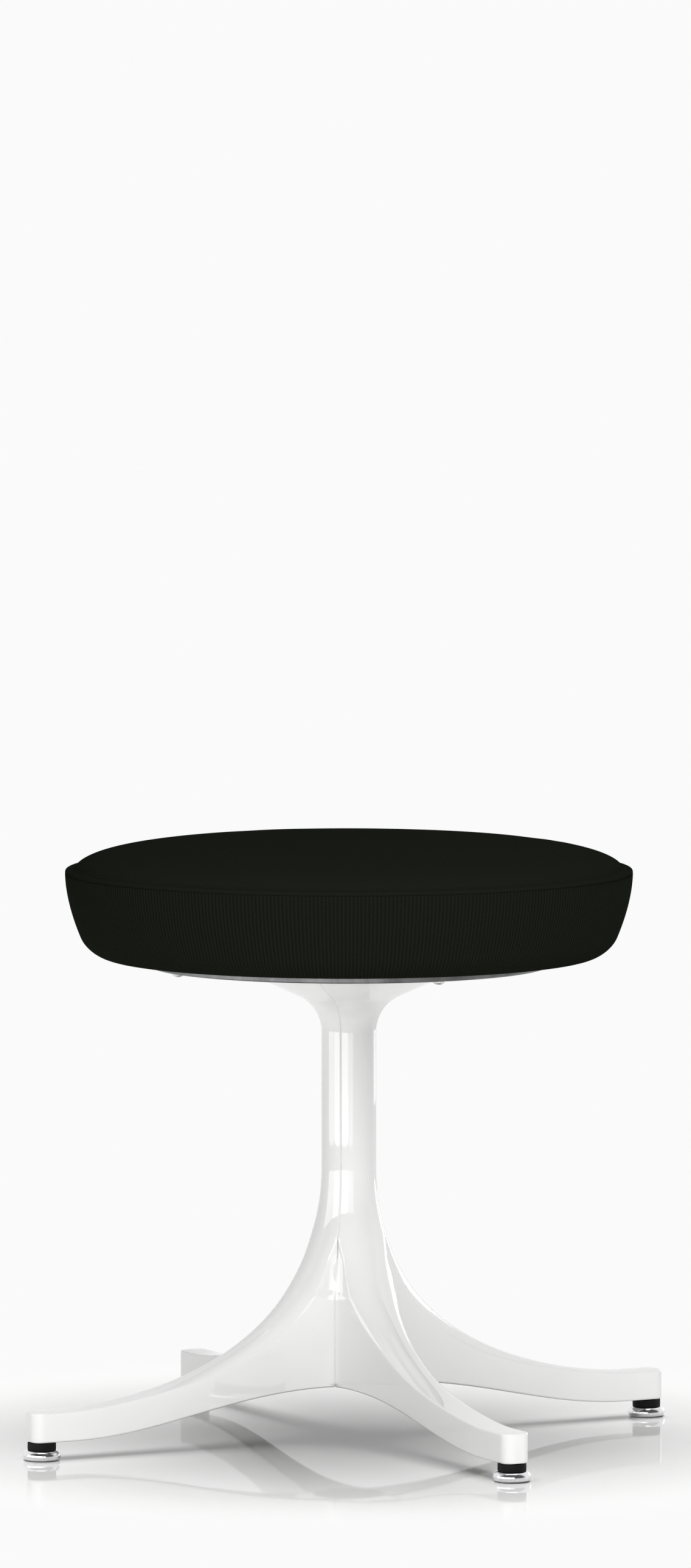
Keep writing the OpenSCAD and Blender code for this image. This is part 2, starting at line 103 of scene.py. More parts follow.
# A mesh from points in millimetres, with a map given at them. Where the map starts again after a full turn,
# the quads that cross that line get the end of the turn instead of its start
def meshFrom(name, points, faces, uvs=None, smoothAngle=35.0, fullTurn=None):
    mesh = bpy.data.meshes.new(name)
    mesh.from_pydata((points.reshape(-1, 3) * mm).tolist(), [], [list(map(int, f)) for f in faces])
    if uvs is not None:
        corners = np.zeros(len(mesh.loops), np.int32)
        mesh.loops.foreach_get("vertex_index", corners)
        cornerMap = (uvs.reshape(-1, 2) * mm)[corners]
        if fullTurn is not None:
            around = cornerMap[:, 0].reshape(-1, 4)
            crossing = around.max(axis=1, keepdims=True) - around.min(axis=1, keepdims=True) > fullTurn / 2.0
            cornerMap[:, 0] = (around + fullTurn * (crossing & (around < fullTurn / 2.0))).ravel()
        layer = mesh.uv_layers.new(name="cloth")
        layer.data.foreach_set("uv", cornerMap.astype(np.float32).ravel())
    mesh.update()
    mesh.validate()
    return pieceOf(name, mesh, smoothAngle)


def pointsOf(mesh):
    flat = np.zeros(len(mesh.vertices) * 3)
    mesh.vertices.foreach_get("co", flat)
    return flat.reshape(-1, 3)


# Angles that divide a full turn evenly
def turnOf(count):
    return np.linspace(0.0, 2.0 * np.pi, count, endpoint=False)


# Points on rings about an upright line: radius times the cosine and sine of the angle, and the height
def ringPoints(radii, angle, heights, centre=(0.0, 0.0)):
    x, y = radii * np.cos(angle) + centre[0], radii * np.sin(angle) + centre[1]
    return stacked(x, y, heights)


# A closed shape from rings of points, with a pole before the first ring and one after the last
def closedByPoles(rings, first, last):
    rows, around = rings.shape[:2]
    end = rows * around
    j = np.arange(around)
    k = (j + 1) % around
    faces = gridFaces(rows, around, True).tolist()
    faces += stacked(end, k, j).tolist()
    faces += stacked(end + 1, end - around + j, end - around + k).tolist()
    return np.vstack([rings.reshape(-1, 3), first, last]), faces


# A closed turned shape: the profile (radius, height) runs from the axis round the outside and back to it
def turned(profile, sides, centre=(0.0, 0.0)):
    profile = np.asarray(profile, float)
    inner = profile[1:-1]
    rings = ringPoints(inner[:, 0, None], turnOf(sides), inner[:, 1, None], centre)
    return closedByPoles(rings, [*centre, profile[0, 1]], [*centre, profile[-1, 1]])


# Points along part of a circle, from one angle to another in degrees
def arcPoints(centre, radius, start, end, count):
    a = np.radians(np.linspace(start, end, count))
    return stacked(centre[0] + radius * np.cos(a), centre[1] + radius * np.sin(a))


# Several closed shapes in one mesh
def joined(shapes):
    points, faces, first = [], [], 0
    for shapePoints, shapeFaces in shapes:
        points.append(shapePoints)
        faces += [[int(v) + first for v in f] for f in shapeFaces]
        first += len(shapePoints)
    return np.vstack(points), faces


def smoothStep(k):
    k = np.clip(k, 0.0, 1.0)
    return k * k * (3.0 - 2.0 * k)


# Where the four legs point, in degrees from the right
sides = {"front": -90.0, "right": 0.0, "back": 90.0, "left": 180.0}


# A place at a distance from the column towards a leg
def spotOf(degrees, distance):
    return distance * math.cos(math.radians(degrees)), distance * math.sin(math.radians(degrees))


# Helpers for materials: inputs take a number, a colour or another node's output

def wire(tree, node, inputs):
    for key, value in inputs.items():
        if isinstance(value, bpy.types.NodeSocket):
            tree.links.new(value, node.inputs[key])
        else:
            node.inputs[key].default_value = value
    return node


def addNode(tree, kind, inputs=(), **settings):
    node = tree.nodes.new("ShaderNode" + kind)
    for key, value in settings.items():
        setattr(node, key, value)
    return wire(tree, node, dict(inputs))


def mathNode(tree, operation, *values, clamp=False):
    return addNode(tree, "Math", enumerate(values), operation=operation, use_clamp=clamp).outputs[0]


# Two colours, or outputs that give them, mixed by a factor; a Mix node has its colours at 6 and 7
def mixColours(tree, factor, a, b):
    a, b = [(*c, 1.0) if isinstance(c, tuple) else c for c in (a, b)]
    return addNode(tree, "Mix", {0: factor, 6: a, 7: b}, data_type="RGBA").outputs[2]


def mixShaders(tree, factor, a, b):
    return addNode(tree, "MixShader", {0: factor, 1: a, 2: b}).outputs["Shader"]


def dotWith(tree, vector, way):
    return addNode(tree, "VectorMath", {0: vector, 1: way}, operation="DOT_PRODUCT").outputs["Value"]


def rampOf(tree, value, start, end, kind="SMOOTHSTEP"):
    limits = {"Value": value, "From Min": start, "From Max": end}
    return addNode(tree, "MapRange", limits, interpolation_type=kind).outputs["Result"]


def noiseOf(tree, place, scale, detail, roughness=0.5):
    values = {"Vector": place, "Scale": scale, "Detail": detail, "Roughness": roughness}
    return addNode(tree, "TexNoise", values).outputs["Fac"]


def bumpOf(tree, height, distance):
    return addNode(tree, "Bump", {"Height": height, "Distance": distance}).outputs["Normal"]


# Place on the object, stretched along its axes
def placeOf(tree, stretch=(1.0, 1.0, 1.0)):
    place = addNode(tree, "TexCoord").outputs["Object"]
    return addNode(tree, "Mapping", {"Vector": place, "Scale": stretch}).outputs["Vector"]


# Shared effects as shader node groups

# A new group; each input has its usual value, or None where it is a vector
def newGroup(name, inputs):
    group = bpy.data.node_groups.new(name, "ShaderNodeTree")
    for title, value in inputs.items():
        kind = "NodeSocketVector" if value is None else "NodeSocketFloat"
        socket = group.interface.new_socket(name=title, in_out="INPUT", socket_type=kind)
        if value is not None:
            socket.default_value = value
    return group, group.nodes.new("NodeGroupInput").outputs


def endGroup(group, outputs):
    for title in outputs:
        group.interface.new_socket(name=title, in_out="OUTPUT", socket_type="NodeSocketFloat")
    wire(group, group.nodes.new("NodeGroupOutput"), outputs)
    return group


def placedGroup(tree, group, place, **values):
    return addNode(tree, "Group", {0: place, **values}, node_tree=group).outputs


# Fine unevenness of a finish: two noises give a small change of roughness, a height and a cloudy mask
def makeUnevenGroup():
    group, given = newGroup("unevenFinish", {"Place": None, "Scale": 60.0, "Roughness": 0.3, "Spread": 0.05})
    fine = noiseOf(group, given["Place"], mathNode(group, "MULTIPLY", given["Scale"], 12.0), 3.0, 0.55)
    broad = noiseOf(group, given["Place"], given["Scale"], 2.0)
    swing = mathNode(group, "SUBTRACT", broad, 0.5)
    change = mathNode(group, "MULTIPLY", swing, mathNode(group, "MULTIPLY", given["Spread"], 2.0))
    roughness = mathNode(group, "ADD", given["Roughness"], change, clamp=True)
    return endGroup(group, {"Roughness": roughness, "Height": fine, "Cloud": broad})


# Lines drawn out along one direction, as brushing or turning leaves them
def makeBrushedGroup():
    group, given = newGroup("brushedLines", {"Place": None, "Scale": 400.0})
    noise = noiseOf(group, given["Place"], given["Scale"], 4.0, 0.6)
    return endGroup(group, {"Lines": rampOf(group, noise, 0.35, 0.65, "LINEAR"), "Height": noise})


knitShape = {"fuzz": 900.0, "drift": 55.0, "wander": 1.6, "lean": 2.4, "stitch": 0.18, "yarn": 0.35}


# Knitted cloth on the piece's own map in metres: columns of stitches as a cosine that wanders a little, each
# stitch a small V, as a cosine along the column that leans back to both sides
def makeKnitGroup():
    group, given = newGroup("knitStitches", {"Map": None, "Column": 0.0027, "Stitch": 0.0019})
    share = knitShape["stitch"]

    def op(*values):
        return mathNode(group, *values)

    split = addNode(group, "SeparateXYZ", {0: given["Map"]}).outputs
    fuzz = noiseOf(group, given["Map"], knitShape["fuzz"], 3.0, 0.65)
    drift = noiseOf(group, given["Map"], knitShape["drift"], 2.0)
    wander = op("MULTIPLY", op("SUBTRACT", drift, 0.5), knitShape["wander"])
    columnTurn = op("MULTIPLY", op("DIVIDE", split["X"], given["Column"]), 2.0 * math.pi)
    columnTurn = op("ADD", columnTurn, wander)
    lean = op("MULTIPLY", op("ABSOLUTE", op("SINE", op("MULTIPLY", columnTurn, 0.5))), knitShape["lean"])
    stitchTurn = op("MULTIPLY", op("DIVIDE", split["Y"], given["Stitch"]), 2.0 * math.pi)
    ridge = op("MULTIPLY_ADD", op("COSINE", columnTurn), 0.5, 0.5)
    stitch = op("MULTIPLY_ADD", op("COSINE", op("ADD", stitchTurn, lean)), share, share)
    height = op("ADD", op("ADD", ridge, stitch), op("MULTIPLY", fuzz, knitShape["yarn"]))
    # the groove output marks the grooves between the stitch columns, where the cloth gets painted shade
    return endGroup(group, {"Height": height, "GrooveShade": op("SUBTRACT", 1.0, ridge), "Fuzz": fuzz})


unevenGroup = makeUnevenGroup()
brushedGroup = makeBrushedGroup()
knitGroup = makeKnitGroup()
print("shared effects built")


materials = {}


# A material with its finish's colour and roughness, kept under its name
def newMaterial(name, finish, metallic=0.0):
    materials[name] = material = bpy.data.materials.new(name)
    material.use_nodes = True
    material.diffuse_color = colour = (*finish["colour"], 1.0)
    tree = material.node_tree
    shader = tree.nodes["Principled BSDF"]
    wire(tree, shader, {
        "Base Color": colour, "Roughness": finish["roughness"], "Metallic": metallic,
        "Specular IOR Level": finish.get("shine", 0.5),
    })
    return tree, shader


def unevenOn(tree, finish):
    return placedGroup(tree, unevenGroup, placeOf(tree), Scale=finish["cloud"], Roughness=finish["roughness"],
                       Spread=finish["spread"])


whitePaint = {
    "colour": (0.82, 0.82, 0.815), "shade": (0.79, 0.79, 0.785), "roughness": 0.52, "spread": 0.03,
    "cloud": 34.0, "grain": 0.000002, "coat": 1.0, "coatRoughness": 0.01, "coatIor": 1.7,
}


# Glossy powder coat: a faint orange peel under a clear hard surface
def makeWhiteCasting(finish):
    tree, shader = newMaterial("whitePowderCoat", finish)
    uneven = unevenOn(tree, finish)
    wire(tree, shader, {
        "Base Color": mixColours(tree, uneven["Cloud"], finish["shade"], finish["colour"]),
        "Roughness": uneven["Roughness"], "Normal": bumpOf(tree, uneven["Height"], finish["grain"]),
        "Coat Weight": finish["coat"], "Coat Roughness": finish["coatRoughness"],
        "Coat IOR": finish["coatIor"],
    })


commonMetal = {"cloud": 55.0, "stretch": (1.0, 1.0, 1.0)}
metals = {
    "satinSteel": {
        "colour": (0.24, 0.24, 0.243), "shade": (0.15, 0.15, 0.153), "roughness": 0.50, "spread": 0.08,
        "stretch": (1.0, 1.0, 0.03), "lines": 60.0, "depth": 0.00002,
    },
    "brightNickel": {
        "colour": (0.80, 0.79, 0.77), "shade": (0.60, 0.59, 0.58), "roughness": 0.12, "spread": 0.05,
        "lines": 900.0, "depth": 0.00001,
    },
    "chromePlate": {
        "colour": (0.86, 0.86, 0.87), "shade": (0.74, 0.74, 0.76), "roughness": 0.045, "spread": 0.02,
        "lines": 500.0, "depth": 0.000004,
    },
    "zincSteel": {
        "colour": (0.60, 0.61, 0.62), "shade": (0.44, 0.45, 0.48), "roughness": 0.30, "spread": 0.1,
        "stretch": (0.1, 0.1, 1.0), "lines": 900.0, "depth": 0.00004,
    },
    "darkOxide": {
        "colour": (0.16, 0.16, 0.17), "shade": (0.09, 0.09, 0.10), "roughness": 0.42, "spread": 0.1,
        "lines": 700.0, "depth": 0.00002,
    },
    "turnedBrass": {
        "colour": (0.68, 0.50, 0.22), "shade": (0.50, 0.36, 0.14), "roughness": 0.28, "spread": 0.08,
        "stretch": (0.1, 0.1, 1.0), "lines": 1200.0, "depth": 0.00003,
    },
}


# Bare metal: fine lines of shade drawn out along the way it was worked
def makeMetal(name, finish):
    tree, shader = newMaterial(name, finish, metallic=1.0)
    lines = placedGroup(tree, brushedGroup, placeOf(tree, finish["stretch"]), Scale=finish["lines"])
    wire(tree, shader, {
        "Base Color": mixColours(tree, lines["Lines"], finish["shade"], finish["colour"]),
        "Roughness": unevenOn(tree, finish)["Roughness"],
        "Normal": bumpOf(tree, lines["Height"], finish["depth"]),
    })


collarRubber = {
    "colour": (0.003, 0.003, 0.003), "dust": (0.008, 0.008, 0.008), "roughness": 0.6, "spread": 0.12,
    "cloud": 120.0, "shine": 0.18, "grain": 0.00004,
}


# Black rubber with a trace of dust
def makeRubber(finish):
    tree, shader = newMaterial("collarRubber", finish)
    uneven = unevenOn(tree, finish)
    dusty = mathNode(tree, "POWER", uneven["Cloud"], 2.5)
    wire(tree, shader, {
        "Base Color": mixColours(tree, dusty, finish["colour"], finish["dust"]),
        "Roughness": uneven["Roughness"], "Normal": bumpOf(tree, uneven["Height"], finish["grain"]),
    })


# groove is the colour of the painted shade in the grooves between the stitch columns
knitCloth = {
    "colour": (0.0100, 0.0113, 0.0082), "groove": (0.0048, 0.0055, 0.0040), "fuzz": (0.0150, 0.0165, 0.0130),
    "roughness": 0.95, "shine": 0.0, "lint": 0.9,
}
# dark is how much painted shade each knit gets in its grooves
knits = {
    "sideKnit": {"column": 0.0027026, "stitch": 0.0019, "depth": 0.00035, "dark": 0.75},
    "topKnit": {"column": 0.0016, "stitch": 0.0012, "depth": 0.00008, "dark": 0.5},
}


# Dark knitted cloth: yarn colour on the columns of stitches, painted shade in the grooves between them, a
# little lint on top
def makeKnitCloth(name, knit, cloth):
    tree, shader = newMaterial(name, cloth)
    uvMap = addNode(tree, "UVMap", uv_map="cloth").outputs["UV"]
    stitches = placedGroup(tree, knitGroup, uvMap, Column=knit["column"], Stitch=knit["stitch"])
    # painted shade: the yarn colour is mixed towards the groove colour where the grooves lie
    dark = mathNode(tree, "MULTIPLY", mathNode(tree, "POWER", stitches["GrooveShade"], 2.0), knit["dark"])
    colour = mixColours(tree, dark, cloth["colour"], cloth["groove"])
    lint = mathNode(tree, "MULTIPLY", mathNode(tree, "POWER", stitches["Fuzz"], 3.0), cloth["lint"])
    wire(tree, shader, {
        "Base Color": mixColours(tree, lint, colour, cloth["fuzz"]),
        "Normal": bumpOf(tree, stitches["Height"], knit["depth"]),
    })


underCloth = {
    "colour": (0.014, 0.014, 0.014), "thread": (0.030, 0.030, 0.029), "pitch": 2600.0, "stretch": 0.08,
    "roughness": 0.9, "depth": 0.0001, "shine": 0.2,
}


# Thin felted cloth under the seat: short crossed threads
def makeUnderCloth(cloth):
    tree, shader = newMaterial("underCloth", cloth)
    first, second = [
        placedGroup(tree, brushedGroup, placeOf(tree, stretch), Scale=cloth["pitch"])["Lines"]
        for stretch in ((1.0, cloth["stretch"], 1.0), (cloth["stretch"], 1.0, 1.0))
    ]
    weave = mathNode(tree, "MULTIPLY", first, second)
    wire(tree, shader, {
        "Base Color": mixColours(tree, weave, cloth["colour"], cloth["thread"]),
        "Normal": bumpOf(tree, weave, cloth["depth"]),
    })


plywood = {
    "colour": (0.62, 0.44, 0.25), "dark": (0.42, 0.27, 0.13), "grain": 228.0, "plies": 130.0, "waver": 0.4,
    "roughness": 0.55, "depth": 0.00005,
}


# Plywood: wavering grain along one way, with the dark glue lines of the plies at the edge
def makePlywood(wood):
    tree, shader = newMaterial("birchPlywood", wood)
    place = placeOf(tree, (1.0, 0.12, 1.0))
    grain = placedGroup(tree, brushedGroup, place, Scale=wood["grain"])
    waves = {"Vector": place, "Scale": wood["plies"], "Distortion": wood["waver"]}
    plies = addNode(tree, "TexWave", waves, wave_type="BANDS", bands_direction="Z").outputs["Fac"]
    edge = mathNode(tree, "POWER", plies, 6.0)
    mask = mathNode(tree, "MAXIMUM", mathNode(tree, "MULTIPLY", grain["Lines"], 0.7), edge)
    wire(tree, shader, {
        "Base Color": mixColours(tree, mask, wood["colour"], wood["dark"]),
        "Normal": bumpOf(tree, grain["Height"], wood["depth"]),
    })


for name, finish in metals.items():
    makeMetal(name, {**commonMetal, **finish})
for name, knit in knits.items():
    makeKnitCloth(name, knit, knitCloth)
makeWhiteCasting(whitePaint)
makeRubber(collarRubber)
makeUnderCloth(underCloth)
makePlywood(plywood)
print("finishes built:", len(materials))


def dress(piece, material):
    piece.data.materials.clear()
    piece.data.materials.append(materials[material])


# Gives a new piece its finish and its body, and hides the solids that it stands for
def settle(piece, material, slot, body, *solids):
    dress(piece, material)
    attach(piece, body)
    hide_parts(*solids)


# Leg castings: sections fan out from level ones in the column to upright ones along the leg
leg = {
    "plateUnder": 330.3, "flareRadius": 70.0, "flareLip": 5.4, "flareSlope": 24.3, "flareFillet": 27.5,
    "lipSoft": 0.9, "columnRadius": 19.1, "reach": 237.6,
    "tipWidth": 20.0, "tipUnder": 12.7, "tipDepth": 21.1,
    "noseOut": 9.7, "noseCorner": 7.5, "noseSoft": 1.4,
    "crestStart": 190.0, "crestPull": 155.0, "crestLevel": 15.4,
    "hub": 39.8, "underLevel": 21.0, "underBend": 1.13,
    "rootHalf": 22.6, "archHalf": 18.4, "archTop": 134.0, "rootFull": 102.0, "rootFade": 33.0,
    "hollow": 0.8, "hollowWide": 4.5, "hollowEnd": 102.0,
    "valleyHigh": 1.5, "valleyWide": 5.0, "groove": 0.55, "underSoft": 1.6, "crestSoft": 1.1, "seamSoft": 0.4,
    "roundPeak": 0.74, "roundAt": 0.31, "roundWide": 0.27, "roundEnd": 0.05, "land": 22.0 / 6.0,
    "fanShare": 0.26, "fanEnd": 0.63, "fanPower": 1.5, "crestEnd": 0.955, "smoothAngle": 32.0,
    "rootSoftness": 0.25, "valleyFade": 25.0, "valleyOut": 0.78, "hollowFade": 8.0, "hollowRise": 5.0,
    "valleyMost": 1.5, "softAbove": 20.0, "softRun": 50.0, "wallLeast": 0.6, "noseTip": 0.02,
}


archTop = leg["archTop"]
tipTop = leg["tipUnder"] + leg["tipDepth"]
crestReach = leg["reach"] - leg["crestLevel"]
noseStart = leg["reach"] + leg["noseOut"] - leg["noseCorner"]


# Half width of the root: full low down, almost evenly narrower towards the top of the pointed arch
def rootAt(z):
    rise = (z - leg["rootFull"]) / (archTop - leg["rootFull"])
    soft = leg["rootSoftness"]
    rise = (1.0 - soft) * np.clip(rise, 0.0, 1.0) + soft * smoothStep(rise)
    return leg["rootHalf"] + (leg["archHalf"] - leg["rootHalf"]) * rise


# Half width at distance x and height z: the seam plane y = x, then a root that fades into the leg's own
# width with a fillet where neighbouring legs meet, then the rounded end. A shallow hollow beside the seam
# keeps the column's roundness just below the point of the arch. In the column the seam plane goes on
def wallAt(x, z, inColumn):
    half, root = leg["tipWidth"] / 2.0, rootAt(z)
    faded = half + (root - half) * np.exp((root - x) / leg["rootFade"])
    near = np.clip(1.0 - (x - root) / leg["valleyWide"], 0.0, leg["valleyMost"])
    fillet = leg["valleyHigh"] * near ** 2 * smoothStep((archTop - z) / leg["valleyFade"])
    away = np.clip((x - root) / leg["hollowWide"], 0.0, None)
    below = smoothStep((archTop - z) / leg["hollowFade"])
    below *= smoothStep((z - leg["hollowEnd"]) / leg["hollowRise"])
    hollow = leg["hollow"] * away * np.exp(1.0 - away) * below
    side = np.where(inColumn, x, np.minimum(x, faded + fillet - hollow))
    turn = np.clip(leg["noseCorner"] ** 2 - (x - noseStart) ** 2, 0.0, None)
    return np.where(x > noseStart, half - leg["noseCorner"] + np.sqrt(turn), side)


# Top line: a cubic that leaves the column straight down and ends level over the foot
def crestPoints(t):
    s, k = smoothStep(t), 1.0 - t
    x = leg["columnRadius"] + (crestReach - leg["columnRadius"]) * s
    pulled = 3.0 * k * k * t * (leg["crestStart"] - leg["crestPull"])
    z = k ** 3 * leg["crestStart"] + pulled + s * tipTop
    return stacked(x, z)


# Underside: a half cosine wave from the hub down to the tip
def underAt(x):
    u = np.clip(x / (leg["reach"] - leg["underLevel"]), 0.0, 1.0)
    wave = (1.0 + np.cos(np.pi * u ** leg["underBend"])) / 2.0
    return leg["tipUnder"] + (leg["hub"] - leg["tipUnder"]) * wave


fanStart = leg["fanShare"] * leg["reach"]
fanHeight = np.interp(fanStart, *crestPoints(shares(2001)).T)


# Inner end of the section that belongs to a point of the top line: beside the axis down to the hub, then
# along the underside, where it trails behind the top line by a power of the way still to go
def innerPoints(c):
    x, z = c[:, 0], c[:, 1]
    share = np.clip(z - fanHeight, 0.0, None) / (archTop - fanHeight)
    low = leg["hub"] + (archTop - leg["hub"]) * share
    k = np.clip(1.0 - (x - fanStart) / (leg["fanEnd"] * leg["reach"] - fanStart), 0.0, None)
    outX = x - (fanStart - leg["land"]) * k ** leg["fanPower"]
    innerX = np.where((z >= archTop) | (x < fanStart), leg["land"], outX)
    innerZ = np.where(z >= archTop, z, np.where(x < fanStart, low, underAt(outX)))
    return stacked(innerX, innerZ)


# Rise of the rounded top as a share of its half width: a bell curve along the leg, and in the column that of
# a quarter of its circle
def roundAt(c):
    away = (c[:, 0] / leg["reach"] - leg["roundAt"]) / leg["roundWide"]
    free = leg["roundEnd"] + (leg["roundPeak"] - leg["roundEnd"]) * np.exp(-away * away)
    k = smoothStep((archTop - c[:, 1]) / (archTop - fanHeight))
    column = math.sqrt(2.0) - 1.0
    return column + (free - column) * k


# Half sections of all rings at once: distance from the inner end and half width, from the underside round
# to the crest
def halfSections(c, u, share, inColumn):
    share, inColumn = share[:, None], inColumn[:, None]
    long = np.linalg.norm(c - u, axis=1, keepdims=True)
    way = (c - u) / long
    wayX, wayZ, innerX, innerZ = way[:, :1], way[:, 1:], u[:, :1], u[:, 1:]

    def widthAt(s):
        return wallAt(innerX + wayX * s, innerZ + wayZ * s, inColumn)

    # the width where the round top starts, which is itself a share of that width below the top line
    half = 0.0
    for _ in range(21):
        edge = c - share * half * way
        half = wallAt(edge[:, :1], edge[:, 1:], inColumn)
    rise = share * half
    ball = (half * half + rise * rise) / (2.0 * rise)

    # the wall, or the round top where that is narrower
    def sideWidth(s):
        q = long - s
        arc = np.sqrt(np.clip(2.0 * ball * q - q * q, 0.0, None))
        return np.minimum(widthAt(s), np.where(q >= rise, np.inf, arc))

    middle = innerZ + wayZ * long / 2.0
    edge = rootAt(middle) + leg["valleyOut"] * smoothStep((archTop - middle) / leg["valleyFade"])
    valley = np.where(wayX > 0.01, (edge - innerX) / np.maximum(wayX, 0.01), 0.0)
    valley = np.where(inColumn, np.inf, valley)
    soft = np.minimum(leg["underSoft"], long / 8.0)
    seamEnd = np.maximum(np.minimum(valley, long - rise) - leg["groove"], 2.0 * soft)
    wallStart = seamEnd + 2.0 * leg["groove"]
    lower = smoothStep((archTop + leg["softAbove"] - c[:, 1:]) / leg["softRun"])
    crestSoft = leg["seamSoft"] + (leg["crestSoft"] - leg["seamSoft"]) * lower
    crest = np.maximum(long - rise, wallStart + crestSoft + leg["wallLeast"])
    start = np.arccos(1.0 - np.minimum(long - crest, 2.0 * ball) / ball)
    arcStart = np.maximum(start - crestSoft / ball, 0.55 * start)
    wallEnd = crest - np.minimum(crestSoft, 0.45 * (crest - wallStart))

    rows = []

    def add(s, width):
        rows.append(stacked(s, width))

    # the underside and its corner, the seam up to the valley, and the wall, with closer rows lower down
    add(0.0, (widthAt(np.zeros_like(long)) - soft) * np.array([0.0, 0.35, 0.7]))
    corner = np.radians(np.linspace(0.0, 90.0, 6))
    s = soft * (1.0 - np.cos(corner))
    add(s, widthAt(s) - soft * (1.0 - np.sin(corner)))
    s = soft + (seamEnd - soft) * shares(12)[1:]
    add(s, widthAt(s))
    s = wallStart + (wallEnd - wallStart) * shares(18) ** 1.4
    add(s, sideWidth(s))
    # a smooth corner from the wall to the round top, with each side's own direction at its ends
    step = 0.02
    change = sideWidth(wallEnd + step) - sideWidth(wallEnd - step)
    wallWay = stacked(2.0 * step, change)
    wallWay /= np.linalg.norm(wallWay, axis=-1, keepdims=True)
    topWay = stacked(np.sin(arcStart), -np.cos(arcStart))
    wallPoint = rows[-1][:, -1:, :]
    topPoint = stacked(long - ball * (1.0 - np.cos(arcStart)), ball * np.sin(arcStart))
    apart = np.linalg.norm(topPoint - wallPoint, axis=-1, keepdims=True)
    k = shares(9)[None, 1:-1, None]
    rows.append((2 * k ** 3 - 3 * k ** 2 + 1) * wallPoint + (k ** 3 - 2 * k ** 2 + k) * apart * wallWay
                + (3 * k ** 2 - 2 * k ** 3) * topPoint + (k ** 3 - k ** 2) * apart * topWay)
    turn = arcStart * (1.0 - shares(13))
    add(long - ball * (1.0 - np.cos(turn)), ball * np.sin(turn))
    return np.concatenate(rows, axis=1), way


# Top line of the column from the plate down: the lip, the cone of the flare, a fillet and the shaft
def columnRings():
    flare, column, fillet, soft = [leg[k] for k in ("flareRadius", "columnRadius", "flareFillet", "lipSoft")]
    top, lip = leg["plateUnder"], leg["plateUnder"] - leg["flareLip"]
    turn = 90.0 - leg["flareSlope"]
    halfTurn = math.tan(math.radians(turn) / 2.0)
    filletTop = lip - (flare - column) * math.tan(math.radians(leg["flareSlope"])) - fillet * halfTurn
    upper = arcPoints((flare - soft, top - soft), soft, 90.0, 0.0, 5)
    lower = arcPoints((flare - soft, lip + soft * halfTurn), soft, 0.0, -turn, 5)
    a = np.radians(np.linspace(turn, 0.0, 34))
    curve = stacked(column + fillet * (1.0 - np.cos(a)), filletTop + fillet * np.sin(a))
    cone = lower[-1] + (curve[0] - lower[-1]) * shares(12)[1:-1, None]
    shaft = curve[-1] + ([column, leg["crestStart"]] - curve[-1]) * shares(22)[1:-1, None]
    return np.vstack([upper, lower, cone, curve, shaft])


# Ends of the sections at the tip of the leg: straight on, then round the nose by a quarter of a circle
def noseRings():
    straight = np.linspace(crestReach, noseStart, 8)[:-1]
    a = np.radians(90.0) * shares(12)
    x = np.concatenate([straight, noseStart + leg["noseCorner"] * np.sin(a)])
    x[-1] -= leg["noseTip"]
    drop = np.concatenate([np.zeros(7), leg["noseSoft"] * (1.0 - np.cos(a)) ** 1.5])
    return stacked(x, tipTop - drop), stacked(x, leg["tipUnder"] + drop / 2.0)


# The casting that points right: rings of points, each its right half and the same mirrored
def legShape():
    column = columnRings()
    crest = crestPoints(np.linspace(0.0, leg["crestEnd"], 190))
    noseTop, noseUnder = noseRings()
    c = np.vstack([column, crest, noseTop])
    u = np.vstack([innerPoints(np.vstack([column, crest])), noseUnder])
    share = roundAt(c)
    share[len(column) + len(crest):] = leg["roundEnd"]
    half, way = halfSections(c, u, share, np.arange(len(c)) < len(column))
    x = u[:, 0, None] + way[:, 0, None] * half[..., 0]
    z = u[:, 1, None] + way[:, 1, None] * half[..., 0]
    right = stacked(x, half[..., 1], z)
    left = right[:, -2:0:-1] * [1.0, -1.0, 1.0]
    rings = np.concatenate([right, left], axis=1)
    rows, columns = rings.shape[:2]
    faces = gridFaces(rows, columns, wrapColumns=True)[:, ::-1].tolist()
    faces += [range(columns), range(rows * columns - 1, (rows - 1) * columns - 1, -1)]
    return rings, faces


# What is cut from a casting, as (radius, top): the seat of the hub plate, and the hole of insert and stem
legCuts = {"hubPlate": (24.9, 42.9), "insert": (6.05, 26.8), "stem": (4.25, 28.0), "below": 6.0}


def cutLeg(casting, cuts):
    low = leg["tipUnder"] - cuts["below"]
    wide, high = cuts["hubPlate"]
    seat = [[0, low], [wide, low], [wide, high], [0, high]]
    (wide, high), (slim, deep) = cuts["insert"], cuts["stem"]
    hole = [[0, low], [wide, low], [wide, high], [slim, high], [slim, deep], [0, deep]]
    cutter = meshFrom("castingCutter", *joined([turned(seat, 96), turned(hole, 48, (leg["reach"], 0.0))]))
    modifier = casting.modifiers.new("holes", "BOOLEAN")
    modifier.operation, modifier.solver, modifier.object = "DIFFERENCE", "EXACT", cutter
    bpy.context.view_layer.update()
    cut = bpy.data.meshes.new_from_object(casting.evaluated_get(bpy.context.evaluated_depsgraph_get()))
    bpy.data.objects.remove(cutter)
    return cut


# One casting is cut and then turned to each side
def makeLegs():
    draft = meshFrom("legDraft", *legShape())
    cut = cutLeg(draft, legCuts)
    bpy.data.objects.remove(draft)
    x, y, z = pointsOf(cut).T
    for side, degrees in sides.items():
        mesh = cut.copy()
        c, s = spotOf(degrees, 1.0)
        mesh.vertices.foreach_set("co", stacked(x * c - y * s, x * s + y * c, z).ravel())
        mesh.update()
        casting = pieceOf("casting_" + side, mesh, leg["smoothAngle"])
        settle(casting, "whitePowderCoat", "white_casting", "stool", "leg_" + side)
    print("castings:", len(x), "points each")


makeLegs()


